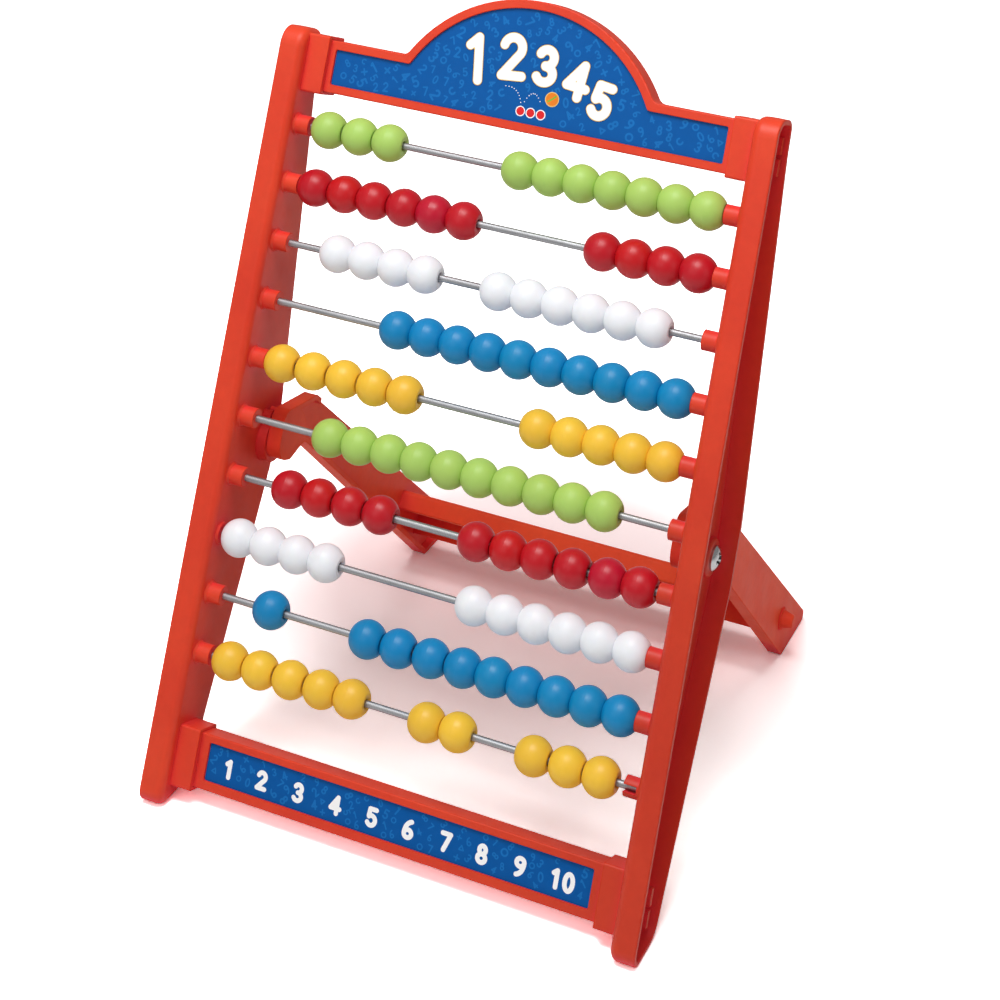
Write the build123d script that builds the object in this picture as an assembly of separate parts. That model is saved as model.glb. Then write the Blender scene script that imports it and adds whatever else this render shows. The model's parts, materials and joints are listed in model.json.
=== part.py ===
from build123d import *
import math
import os

# Counting frame (abacus): ten rods of ten beads between two side rails, with a header
# panel, a number panel and a folding rear stand.
# Millimetres, +Z up, X to the right, the front faces -Y.  The origin is on the table,
# under the middle of the bounding box.
#
# Every part is drawn in the frame's own axes and then leaned back by place():
#   x across, y backwards (perpendicular to the frame), z up the rails,
#   with y = z = 0 on the axis of the top rod.
# "side" is +1 for right (+X) and -1 for left.

# --- placement -------------------------------------------------------------
LEAN = 21.0            # degrees back from vertical
TOP_ROD_HEIGHT = 269.8 # axis of the top rod above the table
Y_SHIFT = -19.6        # brings the origin under the middle of the bounding box

# --- rods and beads --------------------------------------------------------
ROWS = 10
ROW_PITCH = 25.1
ROD_RADIUS = 3.0 / 2
ROD_HALF = 101.8       # half length
ROD_CHAMFER = 0.3
BEAD_DIA = 16.1
BEAD_LENGTH = 13.78
BEAD_HOLE_DIA = 3.8
BEAD_FACE_RADIUS = math.sqrt(BEAD_DIA ** 2 - BEAD_LENGTH ** 2) / 2   # flat ends of the ball

# row: {group name: x of the bead centres}; an unnamed group holds the whole row
BEAD_GROUPS = {
    1: {"left": [-85.3, -70.7, -56.3],
        "right": [3.9, 17.7, 31.5, 45.3, 59.1, 72.9, 86.7]},
    2: {"left": [-86.7, -72.6, -58.6, -44.4, -30.5, -16.7],
        "right": [45.6, 59.4, 73.2, 87.0]},
    3: {"left": [-70.8, -57.0, -43.2, -29.4],
        "right": [4.0, 17.8, 31.6, 45.4, 59.2, 73.0]},
    4: {"": [-37.2, -23.4, -9.6, 4.2, 18.0, 31.8, 45.6, 59.4, 73.2, 87.0]},
    5: {"left": [-86.9, -72.1, -57.4, -42.9, -28.7],
        "right": [31.8, 45.6, 59.4, 73.2, 87.0]},
    6: {"": [-58.6, -44.8, -31.0, -17.2, -3.4, 10.4, 24.2, 38.0, 51.8, 65.6]},
    7: {"left": [-72.7, -58.6, -44.2, -29.8],
        "right": [14.1, 28.4, 42.2, 56.7, 71.8, 85.7]},
    8: {"left": [-91.6, -77.8, -64.0, -50.2],
        "right": [18.0, 31.8, 45.6, 59.4, 73.2, 87.0]},
    9: {"left": [-71.0],
        "right": [-25.5, -11.1, 3.7, 18.0, 31.8, 45.6, 59.4, 73.2, 87.0]},
    10: {"left": [-85.3, -71.0, -56.4, -41.8, -27.6],
         "middle": [6.7, 20.8],
         "right": [54.3, 69.1, 83.5]},
}

# --- side rails ------------------------------------------------------------
WEB_IN = 101.0         # inner face of the web
WEB_OUT = WEB_IN + 2.2
RAIL_OUT = 112.0       # outer edge of the rail
RAIL_WALL = 2.2
RAIL_FRONT = -9.1
RAIL_TOP = 41.5
INNER_EDGE_ROUND = 3.6
OUTER_EDGE_ROUND = 0.7
BOSS_RADIUS = 4.2
BOSS_ROOT_RADIUS = 4.9 # the boss flares where it meets the web
BOSS_TIP = 94.0        # inner end of the rod bosses
LOW_BOSS_TIP = 99.9    # the eighth left boss is a low collar
STUB_RADIUS = 4.0      # round stub on the outer face of the web at each rod

# --- panels and labels -----------------------------------------------------
PANEL_HALF = 98.0      # half width
PANEL_FRONT = -0.6
PANEL_BACK = 9.5
PANEL_WALL = 2.2
LABEL_FRONT = 0.4
LABEL_BACK = LABEL_FRONT + 0.25
LABEL_FIT = 0.1        # gap round a label in its pocket
CORNER_ROUND = 0.8
ARCH_Z = 5.4           # centre of the header's arch
HEADER = dict(half_width=PANEL_HALF, z0=15.6, z1=38.0, arch_radius=64.9, foot_radius=4.0)
HEADER_LABEL = dict(half_width=88.9, z0=19.3, z1=34.3, arch_radius=61.2, foot_radius=1.7)
NUMBER = dict(half_width=PANEL_HALF, z0=-280.1, z1=-257.3)
NUMBER_LABEL = dict(half_width=87.3, z0=-276.1, z1=-260.5)
HEADER_RIB_TOP = 75    # above the arch; ribs are trimmed to the outline
RIB_XS = range(-75, 76, 25)
RIB_HALF = 0.8

# snap arms: a pair at each end of a panel
HEADER_ARM_Z = 26.1    # middle of the pair
NUMBER_ARM_Z = -270.7
ARM_Y0, ARM_Y1 = 5.8, 8.4
ARM_STEP = 4.35        # from the middle of the pair to the middle of an arm
ARM_HALF = 3.5
ARM_END = 110.0

COLLAR_IN = 91.5       # inner end of the panel sockets on the rails
SOCKET_FIT = 0.1
# collar bottom z, collar top z, panel it holds, middle z of the snap arms
SOCKETS = [
    (14.3, 39.4, HEADER, HEADER_ARM_Z),
    (-281.6, -256.0, NUMBER, NUMBER_ARM_Z),
]

# --- stand and its pivots --------------------------------------------------
PIVOT_Y, PIVOT_Z = 27.0, -137.6
PAD_IN = 96.6          # inner end of the rail's pivot pad
PAD_RADIUS = 9.8
STOP_RADIUS = 12.5     # from the pivot to the rail's lug and the leg's nub
LUG_ANGLE, NUB_ANGLE = 120, 100   # degrees from +y towards +z
SCREW_RADIUS = 5.0 / 2
SCREW_HEAD_RADIUS = 10.8 / 2
SCREW_SEAT = 105.6     # underside of the screw head

LEG_OUT, LEG_IN = 96.4, 89.9
LEG_PLATE_IN = LEG_OUT - 3.0
LEG_RIM = 2.4
LEG_HEAD_RADIUS = 15.5 # solid part round the pivot
LEG_EDGE_SLOPE = 21.9  # degrees down, upper rear edge of the leg
PEG_Y, PEG_Z = 195.0, -191.2

BAR_DATUM_Y, BAR_DATUM_Z = 27.0, -136.5
BAR_SLOPE = 22.5       # degrees down
BAR_HALF = LEG_PLATE_IN + 0.5
BAR_RIB_XS = range(-62, 63, 31)
BAR_RIB_HALF = 0.9


# --- helpers ---------------------------------------------------------------
def place(shape):
    """Lean a shape back and stand it on the table."""
    return Pos(0, Y_SHIFT, TOP_ROD_HEIGHT) * Rot(-LEAN, 0, 0) * shape


def on_side(shape, side):
    """Shapes are drawn on the right; the left one is its mirror image."""
    return mirror(shape, about=Plane.YZ) if side < 0 else shape


def join_arcs(arcs):
    """Closed face from (start, middle, end) arcs, joined by lines; no middle means a point."""
    edges = []
    for index, (start, middle, end) in enumerate(arcs):
        if middle is not None:
            edges.append(ThreePointArc(start, middle, end))
        next_start = arcs[(index + 1) % len(arcs)][0]
        if (next_start - end).length > 1e-6:
            edges.append(Line(end, next_start))
    return make_face(edges)


def rounded(corners):
    """Closed face from (u, v, radius) corners."""
    points = [Vector(u, v) for u, v, _ in corners]
    arcs = []
    for index, corner in enumerate(points):
        radius = corners[index][2]
        if radius == 0:
            arcs.append((corner, None, corner))
            continue
        to_last = (points[index - 1] - corner).normalized()
        to_next = (points[(index + 1) % len(points)] - corner).normalized()
        half_angle = math.acos(to_last.dot(to_next)) / 2
        tangent = radius / math.tan(half_angle)
        depth = radius / math.sin(half_angle) - radius
        middle = corner + (to_last + to_next).normalized() * depth
        arcs.append((corner + to_last * tangent, middle, corner + to_next * tangent))
    return join_arcs(arcs)


def prism_x(face, x0, x1):
    """Face drawn as (y, z), extruded from x0 to x1."""
    return extrude(Plane.YZ.offset(x0) * face, x1 - x0, dir=(1, 0, 0))


def prism_y(face, y0, y1):
    """Face drawn as (x, z), extruded from y0 back to y1."""
    plane = Plane((0, y0, 0), x_dir=(1, 0, 0), z_dir=(0, -1, 0))
    return extrude(plane * face, y1 - y0, dir=(0, 1, 0))


def box(x0, x1, y0, y1, z0, z1):
    """Box between limits; x0 and x1 may come in either order."""
    middle = Pos((x0 + x1) / 2, (y0 + y1) / 2, (z0 + z1) / 2)
    return middle * Box(abs(x1 - x0), y1 - y0, z1 - z0)


def cylinder_x(x0, x1, y, z, radius):
    return Pos((x0 + x1) / 2, y, z) * Rot(0, 90, 0) * Cylinder(radius, x1 - x0)


def cone_x(x0, x1, y, z, radius0, radius1):
    return Pos((x0 + x1) / 2, y, z) * Rot(0, 90, 0) * Cone(radius0, radius1, x1 - x0)


def row_z(row):
    return -(row - 1) * ROW_PITCH


def table_z(y):
    """z of the table plane at y, in frame axes."""
    lean = math.radians(LEAN)
    return (-TOP_ROD_HEIGHT + math.sin(lean) * y) / math.cos(lean)


def stop_point(angle):
    """(y, z) on the stop circle round the pivot."""
    turn = math.radians(angle)
    return PIVOT_Y + STOP_RADIUS * math.cos(turn), PIVOT_Z + STOP_RADIUS * math.sin(turn)


# --- side rails ------------------------------------------------------------
# y, z, corner radius
RAIL_CORNERS = [
    (RAIL_FRONT, RAIL_TOP, 8.5),
    (10.3, RAIL_TOP, 5.0),
    (11.2, 27.0, 25.0),
    (38.5, -124.0, 22.0),
    (38.5, -151.0, 22.0),
    (14.6, table_z(14.6), 11.0),
    (RAIL_FRONT, table_z(RAIL_FRONT), 5.5),
]


def rail_shell():
    """Web with a wall all round, open to the outside."""
    outline = rounded(RAIL_CORNERS)
    body = prism_x(outline, WEB_IN, RAIL_OUT)
    body = fillet(body.faces().sort_by(Axis.X)[0].edges(), INNER_EDGE_ROUND)
    body = fillet(body.faces().sort_by(Axis.X)[-1].edges(), OUTER_EDGE_ROUND)
    return body - prism_x(offset(outline, amount=-RAIL_WALL), WEB_OUT, RAIL_OUT + 1)


def socket_collar(z0, z1):
    collar = box(COLLAR_IN, WEB_OUT - 0.2, -3.3, 11.0, z0, z1)
    return fillet(collar.edges().filter_by(Axis.X), 1.0)


def socket_cavity(size):
    """Room for the end of a panel."""
    return box(COLLAR_IN - 1, PANEL_HALF + 0.05,
               PANEL_FRONT - SOCKET_FIT, PANEL_BACK + SOCKET_FIT,
               size["z0"] - SOCKET_FIT, size["z1"] + SOCKET_FIT)


def arm_slots(pair_z):
    """Slots through the web for a pair of snap arms."""
    half = ARM_HALF + 0.2
    lower, upper = [
        box(PANEL_HALF - 0.5, WEB_OUT + 0.5, ARM_Y0 - 1.5, ARM_Y1 + 0.2, z - half, z + half)
        for z in (pair_z - ARM_STEP, pair_z + ARM_STEP)
    ]
    return lower + upper


def side_rail(side):
    body = rail_shell()
    rows = range(1, ROWS + 1)

    # thicker front wall and a stub outside the web at every rod
    for z in map(row_z, rows):
        body += box(WEB_IN + 1, RAIL_OUT - 1.2,
                    RAIL_FRONT + 1.2, RAIL_FRONT + RAIL_WALL + 0.9, z - 4.5, z + 4.5)
        body += cylinder_x(WEB_IN + 1, WEB_OUT + 1.4, 0, z, STUB_RADIUS)

    # rod bosses on the inner face
    for row in rows:
        tip = LOW_BOSS_TIP if (side < 0 and row == 8) else BOSS_TIP
        body += cylinder_x(tip, WEB_IN + 0.6, 0, row_z(row), BOSS_RADIUS)
        body += cone_x(WEB_IN - 1.0, WEB_IN + 0.05, 0, row_z(row),
                       BOSS_RADIUS, BOSS_ROOT_RADIUS)

    for collar_z0, collar_z1, size, arm_z in SOCKETS:
        body += socket_collar(collar_z0, collar_z1)
        body -= socket_cavity(size)
        body -= arm_slots(arm_z)

    # stand pivot: pad inside, screw boss outside, stop lug above the pad, screw hole
    body += cylinder_x(PAD_IN, WEB_OUT - 0.2, PIVOT_Y, PIVOT_Z, PAD_RADIUS)
    boss = cylinder_x(WEB_IN + 1, SCREW_SEAT, PIVOT_Y, PIVOT_Z, 8.0)
    body += fillet(boss.edges().sort_by(Axis.X)[-1], 1.2)
    body += cylinder_x(97.1, WEB_IN + 1, *stop_point(LUG_ANGLE), 2.2)
    body -= cylinder_x(PAD_IN - 1, 109, PIVOT_Y, PIVOT_Z, SCREW_RADIUS)

    # blind rod holes; the tenth right boss is open to the front
    for z in map(row_z, rows):
        body -= cylinder_x(BOSS_TIP - 1, ROD_HALF, 0, z, ROD_RADIUS)
    if side > 0:
        z = row_z(10)
        body -= box(BOSS_TIP - 1, WEB_IN - 1.5, -7, 0, z - ROD_RADIUS, z + ROD_RADIUS)
    return on_side(body, side)


# --- panels and labels -----------------------------------------------------
def arch_outline(half_width, z0, z1, arch_radius, foot_radius, corner=CORNER_ROUND, grow=0):
    """Strip with a round arch on top, grown all round; foot_radius blends arch and strip."""
    half_width += grow
    z0 -= grow
    z1 += grow
    arch_radius += grow
    foot_radius -= grow

    arch_center = Vector(0, ARCH_Z)
    reach = arch_radius + foot_radius
    rise = z1 + foot_radius - ARCH_Z
    foot_center = Vector(math.sqrt(reach ** 2 - rise ** 2), z1 + foot_radius)
    to_arch = (arch_center - foot_center).normalized()
    foot_middle = foot_center + (to_arch + Vector(0, -1)).normalized() * foot_radius
    foot_top = foot_center + to_arch * foot_radius

    inset = corner * (1 - math.sqrt(0.5))
    right = [
        (Vector(half_width - corner, z0), Vector(half_width - inset, z0 + inset),
         Vector(half_width, z0 + corner)),
        (Vector(half_width, z1 - corner), Vector(half_width - inset, z1 - inset),
         Vector(half_width - corner, z1)),
        (Vector(foot_center.X, z1), foot_middle, foot_top),
    ]
    left = [[Vector(-point.X, point.Y) for point in arc[::-1]] for arc in right[::-1]]
    arch = (foot_top, Vector(0, ARCH_Z + arch_radius), left[0][0])
    return join_arcs(right + [arch] + left)


def strip_outline(half_width, z0, z1, corner=CORNER_ROUND, grow=0):
    half_width += grow
    z0 -= grow
    z1 += grow
    return rounded([(-half_width, z0, corner), (half_width, z0, corner),
                    (half_width, z1, corner), (-half_width, z1, corner)])


def panel(outline, size, label_size, rib_top, arm_z):
    """Shell open at the back, with a label pocket in front, ribs and snap arms."""
    face = outline(**size)
    body = prism_y(face, PANEL_FRONT, PANEL_BACK)
    body = fillet(body.faces().sort_by(Axis.Y)[0].edges(), 0.6)
    body -= prism_y(outline(**label_size, grow=LABEL_FIT), PANEL_FRONT - 1, LABEL_BACK)
    inner = outline(**size, corner=0.6, grow=-PANEL_WALL)
    body -= prism_y(inner, LABEL_BACK + 2.0, PANEL_BACK + 1)

    rib_front = LABEL_BACK + 1.5
    for x in RIB_XS:
        rib = box(x - RIB_HALF, x + RIB_HALF, rib_front, PANEL_BACK - 1.0, size["z0"], rib_top)
        body += rib & prism_y(face, rib_front, PANEL_BACK - 0.5)

    # snap arms, each with a hook outside the rail web
    for z in (arm_z - ARM_STEP, arm_z + ARM_STEP):
        z0, z1 = z - ARM_HALF, z + ARM_HALF
        for side in (-1, 1):
            body += box(side * (PANEL_HALF - 1.0), side * ARM_END, ARM_Y0, ARM_Y1, z0, z1)
            body += box(side * (WEB_OUT + 0.15), side * 105.2,
                        ARM_Y0 - 1.4, ARM_Y0 + 0.1, z0, z1)
    return body


def label(face):
    return prism_y(face, LABEL_FRONT, LABEL_BACK)


# --- stand -----------------------------------------------------------------
# y, z, corner radius
LEG_CORNERS = [
    (18.5, -123.5, 6.0),
    (47.0, -118.0, 3.0),
    (241.7, table_z(241.7), 3.0),
    (205.8, table_z(205.8), 1.5),
    (42.0, -137.9, 4.0),
    (31.0, -145.0, 3.0),
    (18.5, -145.0, 8.0),
]


def rim_gap():
    """Region along the upper rear edge of the leg where it has no rim."""
    y0, z0, length = 54.0, -122.0, 176
    slope = math.radians(LEG_EDGE_SLOPE)
    y1 = y0 + length * math.cos(slope)
    z1 = z0 - length * math.sin(slope)
    return rounded([(y0 - 2.0, z0 - 2.2, 0), (y1, z1 - 2.2, 0),
                    (y1 + 8, z1 + 22, 0), (y0 - 2.0, z0 + 22, 0)])


def leg(side):
    face = rounded(LEG_CORNERS)
    plate = prism_x(face, LEG_PLATE_IN, LEG_OUT)
    rim = prism_x(face - offset(face, amount=-LEG_RIM), LEG_IN, LEG_OUT)
    rim -= prism_x(rim_gap(), LEG_IN - 1, LEG_PLATE_IN)
    body = plate + rim

    # solid head round the pivot, and the nub that meets the rail's stop lug
    head = cylinder_x(LEG_IN - 1, LEG_OUT + 1, PIVOT_Y, PIVOT_Z, LEG_HEAD_RADIUS)
    body += prism_x(face, LEG_IN, LEG_OUT) & head
    body += cylinder_x(LEG_OUT - 1, LEG_OUT + 3.9, *stop_point(NUB_ANGLE), 1.8)

    # round peg near the foot, on a low disc
    body += cylinder_x(LEG_OUT - 1, LEG_OUT + 0.8, PEG_Y, PEG_Z, 5.2)
    peg = cone_x(LEG_OUT + 0.7, LEG_OUT + 6.0, PEG_Y, PEG_Z, 4.4, 2.9)
    body += fillet(peg.edges().sort_by(Axis.X)[-1], 1.0)

    # blind screw hole, open to the outside
    body -= cylinder_x(LEG_IN + 1, LEG_OUT + 1, PIVOT_Y, PIVOT_Z, SCREW_RADIUS + 0.1)
    return on_side(body, side)


# Crossbar profiles: distance down the slope, height above it, corner radius
BAR_OUTER = [(149, 11.0, 0.7), (152.5, 11.0, 0), (152.5, 14.0, 0), (176.5, 14.0, 0),
             (176.5, 6.5, 0), (180, 6.5, 0.7), (180, 20.5, 2.5), (149, 20.5, 2.5)]
BAR_CAVITY = [(151.4, 10.0, 0), (177.6, 10.0, 0), (177.6, 18.1, 1.0), (151.4, 18.1, 1.0)]
BAR_OPENING = [(150, 5.0, 0), (177.6, 5.0, 0), (177.6, 10.5, 0), (150, 10.5, 0)]
BAR_RIB = [(150, 14.6, 0), (179, 14.6, 0), (179, 19.4, 0), (150, 19.4, 0)]


def bar_face(corners):
    """Crossbar profile turned into (y, z)."""
    slope = math.radians(BAR_SLOPE)
    down, up = math.cos(slope), math.sin(slope)
    return rounded([
        (BAR_DATUM_Y + along * down + above * up, BAR_DATUM_Z - along * up + above * down, radius)
        for along, above, radius in corners
    ])


def rear_stand():
    legs = leg(1) + leg(-1)
    # crossbar: top plate, short front lip, deep rear wall, ribs between
    bar = prism_x(bar_face(BAR_OUTER), -BAR_HALF, BAR_HALF)
    for hollow in (BAR_CAVITY, BAR_OPENING):
        bar -= prism_x(bar_face(hollow), -BAR_HALF - 1, BAR_HALF + 1)
    for x in BAR_RIB_XS:
        bar += prism_x(bar_face(BAR_RIB), x - BAR_RIB_HALF, x + BAR_RIB_HALF)
    return legs + bar


def pivot_screw(side):
    seat = SCREW_SEAT
    head = revolve(make_face([
        Line((seat, 0), (seat, SCREW_HEAD_RADIUS)),
        Line((seat, SCREW_HEAD_RADIUS), (seat + 0.9, SCREW_HEAD_RADIUS)),
        ThreePointArc((seat + 0.9, SCREW_HEAD_RADIUS), (seat + 2.2, 3.5), (seat + 2.6, 0)),
        Line((seat + 2.6, 0), (seat, 0)),
    ]), Axis.X)
    screw = head + cylinder_x(91.6, seat + 0.2, 0, 0, SCREW_RADIUS)
    # cross recess, wider at the middle
    for angle in (20, 110):
        screw -= Pos(seat + 2.3, 0, 0) * Rot(angle, 0, 0) * Box(2.8, 6.2, 1.5)
    screw -= cone_x(seat + 0.8, seat + 2.7, 0, 0, 1.0, 2.0)
    return on_side(Pos(0, PIVOT_Y, PIVOT_Z) * screw, side)


# --- rods and beads --------------------------------------------------------
def rod(row):
    body = cylinder_x(-ROD_HALF, ROD_HALF, 0, row_z(row), ROD_RADIUS)
    return chamfer(body.edges().filter_by(GeomType.CIRCLE), ROD_CHAMFER)


def bead():
    """Ball with two flat ends and a hole along x."""
    half, hole = BEAD_LENGTH / 2, BEAD_HOLE_DIA / 2
    return revolve(make_face([
        Line((-half, hole), (-half, BEAD_FACE_RADIUS)),
        ThreePointArc((-half, BEAD_FACE_RADIUS), (0, BEAD_DIA / 2), (half, BEAD_FACE_RADIUS)),
        Line((half, BEAD_FACE_RADIUS), (half, hole)),
        Line((half, hole), (-half, hole)),
    ]), Axis.X)


def bead_group(row, centres):
    ball = bead()
    return Compound(children=[place(Pos(x, 0, row_z(row)) * ball) for x in centres])


def main():
    header = panel(arch_outline, HEADER, HEADER_LABEL, HEADER_RIB_TOP, HEADER_ARM_Z)
    number = panel(strip_outline, NUMBER, NUMBER_LABEL, NUMBER["z1"], NUMBER_ARM_Z)
    parts = {
        "left_side_rail": place(side_rail(-1)),
        "right_side_rail": place(side_rail(1)),
        "header_panel": place(header),
        "number_panel": place(number),
        "header_label": place(label(arch_outline(**HEADER_LABEL))),
        "number_label": place(label(strip_outline(**NUMBER_LABEL))),
        "rear_stand": place(rear_stand()),
        "pivot_screws": Compound(children=[place(pivot_screw(side)) for side in (-1, 1)]),
    }
    for row, groups in BEAD_GROUPS.items():
        parts[f"rod_{row:02d}"] = place(rod(row))
        for name, centres in groups.items():
            suffix = f"_{name}" if name else ""
            parts[f"row{row:02d}_beads{suffix}"] = bead_group(row, centres)

    os.makedirs("parts", exist_ok=True)
    for name, shape in parts.items():
        export_step(shape, f"parts/{name}.step")


main()
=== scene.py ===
"""Looks of the ten-row abacus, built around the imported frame.  Metres, in the frame's own coordinates."""
import json
import math

import bmesh
import bpy
import numpy as np
from mathutils import Matrix, Vector
from mathutils.geometry import delaunay_2d_cdt


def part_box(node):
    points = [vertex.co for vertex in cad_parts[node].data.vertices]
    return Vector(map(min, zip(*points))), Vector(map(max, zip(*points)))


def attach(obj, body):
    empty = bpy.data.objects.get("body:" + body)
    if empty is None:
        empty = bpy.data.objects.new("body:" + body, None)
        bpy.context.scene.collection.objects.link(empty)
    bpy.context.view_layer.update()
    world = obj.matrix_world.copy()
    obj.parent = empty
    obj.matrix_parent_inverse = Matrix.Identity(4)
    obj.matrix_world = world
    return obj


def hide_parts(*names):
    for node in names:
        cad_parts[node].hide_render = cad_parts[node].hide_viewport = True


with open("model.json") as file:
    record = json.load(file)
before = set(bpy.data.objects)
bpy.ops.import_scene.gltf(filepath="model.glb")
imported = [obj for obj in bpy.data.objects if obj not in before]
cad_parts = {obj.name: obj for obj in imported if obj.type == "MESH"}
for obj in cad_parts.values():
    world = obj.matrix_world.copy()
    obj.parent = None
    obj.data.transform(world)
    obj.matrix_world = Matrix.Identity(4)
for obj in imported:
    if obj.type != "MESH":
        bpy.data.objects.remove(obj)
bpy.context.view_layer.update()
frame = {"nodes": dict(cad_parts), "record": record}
MM = 0.001

# ---------------------------------------------------------------------------
# the leaning frame's own axes: x across, y backwards, z up the rails, with the
# origin on the top rod
# ---------------------------------------------------------------------------


def middle(node):
    lo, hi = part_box(node)
    return (lo + hi) / 2


ROD_TOP, ROD_LOW = middle("rod_01"), middle("rod_10")
UP = (ROD_TOP - ROD_LOW).normalized()
EX = Vector((1.0, 0.0, 0.0))
BACK = UP.cross(EX).normalized()
PITCH = (ROD_TOP - ROD_LOW).length / 9
ORIGIN = Vector((0.0, ROD_TOP.y, ROD_TOP.z))
AXES = Matrix((
    (EX.x, BACK.x, UP.x, ORIGIN.x),
    (EX.y, BACK.y, UP.y, ORIGIN.y),
    (EX.z, BACK.z, UP.z, ORIGIN.z),
    (0, 0, 0, 1),
))


# ---------------------------------------------------------------------------
# small mesh helpers
# ---------------------------------------------------------------------------


def new_object(name, verts, faces, materials, face_material=None, smooth=True, matrix=None):
    mesh = bpy.data.meshes.new(name)
    co = np.array(verts, float).reshape(-1, 3)
    if matrix is not None:
        m = np.array(matrix)
        co = co @ m[:3, :3].T + m[:3, 3]
    mesh.from_pydata([tuple(v) for v in co], [], faces)
    for m in materials:
        mesh.materials.append(m)
    if face_material is not None:
        mesh.polygons.foreach_set("material_index", np.array(face_material, np.int32))
    mesh.polygons.foreach_set("use_smooth", np.full(len(mesh.polygons), smooth, bool))
    mesh.validate()
    mesh.update()
    obj = bpy.data.objects.new(name, mesh)
    bpy.context.scene.collection.objects.link(obj)
    return obj


def lathe(profile, segments, closed=False, phase=0.0):
    """Turns (a, r) points about the x axis.  A closed profile makes a ring, an open one needs r = 0 ends."""
    verts, faces = [], []
    n = len(profile)
    ring_start = []
    for a, r in profile:
        ring_start.append(len(verts))
        if r < 1e-9:
            verts.append((a, 0.0, 0.0))
        else:
            for s in range(segments):
                t = 2 * math.pi * s / segments + phase
                verts.append((a, r * math.cos(t), r * math.sin(t)))
    last = n if closed else n - 1
    for i in range(last):
        j = (i + 1) % n
        p0, p1 = ring_start[i], ring_start[j]
        one0, one1 = profile[i][1] < 1e-9, profile[j][1] < 1e-9
        for s in range(segments):
            t = (s + 1) % segments
            if one0 and one1:
                continue
            if one0:
                faces.append((p0, p1 + t, p1 + s))
            elif one1:
                faces.append((p0 + s, p0 + t, p1))
            else:
                faces.append((p0 + s, p0 + t, p1 + t, p1 + s))
    return verts, faces


def joined(parts):
    verts, faces, k = [], [], 0
    for v, f, off in parts:
        verts += [(p[0] + off[0], p[1] + off[1], p[2] + off[2]) for p in v]
        faces += [tuple(i + k for i in face) for face in f]
        k += len(v)
    return verts, faces


# ---------------------------------------------------------------------------
# node helpers
# ---------------------------------------------------------------------------


class Nodes:
    def __init__(self, name):
        self.mat = bpy.data.materials.new(name)
        self.mat.use_nodes = True
        self.tree = self.mat.node_tree
        self.tree.nodes.clear()
        self.out = self.add("ShaderNodeOutputMaterial")
        self.coord = self.add("ShaderNodeTexCoord").outputs["Object"]

    def add(self, kind, **props):
        n = self.tree.nodes.new(kind)
        for k, v in props.items():
            setattr(n, k, v)
        return n

    def put(self, socket, value):
        if value is None:
            return
        if isinstance(value, bpy.types.NodeSocket):
            self.tree.links.new(value, socket)
        else:
            socket.default_value = value

    def math(self, op, a, b=None, c=None, clamp=False):
        n = self.add("ShaderNodeMath", operation=op, use_clamp=clamp)
        for s, v in zip(n.inputs, (a, b, c)):
            self.put(s, v)
        return n.outputs[0]

    def noise(self, scale, detail=3.0, rough=0.55, distortion=0.0, vector=None, lac=2.0):
        n = self.add("ShaderNodeTexNoise")
        self.put(n.inputs["Vector"], vector if vector is not None else self.coord)
        n.inputs["Scale"].default_value = scale
        n.inputs["Detail"].default_value = detail
        n.inputs["Roughness"].default_value = rough
        n.inputs["Distortion"].default_value = distortion
        n.inputs["Lacunarity"].default_value = lac
        return n.outputs["Fac"]

    def stretch(self, scale, rotation=(0, 0, 0)):
        n = self.add("ShaderNodeMapping")
        self.put(n.inputs["Vector"], self.coord)
        n.inputs["Scale"].default_value = scale
        n.inputs["Rotation"].default_value = rotation
        return n.outputs["Vector"]

    def ramp(self, fac, lo, hi, a=0.0, b=1.0):
        n = self.add("ShaderNodeMapRange")
        n.clamp = True
        self.put(n.inputs["Value"], fac)
        for k, v in (("From Min", lo), ("From Max", hi), ("To Min", a), ("To Max", b)):
            self.put(n.inputs[k], v)
        return n.outputs["Result"]

    def mix(self, fac, a, b):
        n = self.add("ShaderNodeMix", data_type="RGBA")
        self.put(n.inputs[0], fac)
        self.put(n.inputs[6], a)
        self.put(n.inputs[7], b)
        return n.outputs[2]

    def hsv(self, colour, hue=0.5, sat=1.0, val=1.0):
        n = self.add("ShaderNodeHueSaturation")
        self.put(n.inputs["Color"], colour)
        self.put(n.inputs["Hue"], hue)
        self.put(n.inputs["Saturation"], sat)
        self.put(n.inputs["Value"], val)
        return n.outputs["Color"]

    def bump(self, height, strength, distance, normal=None):
        n = self.add("ShaderNodeBump")
        self.put(n.inputs["Height"], height)
        n.inputs["Strength"].default_value = strength
        n.inputs["Distance"].default_value = distance
        self.put(n.inputs["Normal"], normal)
        return n.outputs["Normal"]

    def principled(self, **values):
        n = self.add("ShaderNodeBsdfPrincipled")
        for k, v in values.items():
            self.put(n.inputs[k.replace("_", " ")], v)
        return n

    def finish(self, shader):
        self.tree.links.new(shader, self.out.inputs["Surface"])
        return self.mat


def rgb(r, g, b):
    """sRGB 0-255 to linear."""
    out = []
    for c in (r, g, b):
        c /= 255
        out.append(c / 12.92 if c <= 0.04045 else ((c + 0.055) / 1.055) ** 2.4)
    return (*out, 1.0)


# ---------------------------------------------------------------------------
# materials
# ---------------------------------------------------------------------------


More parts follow.
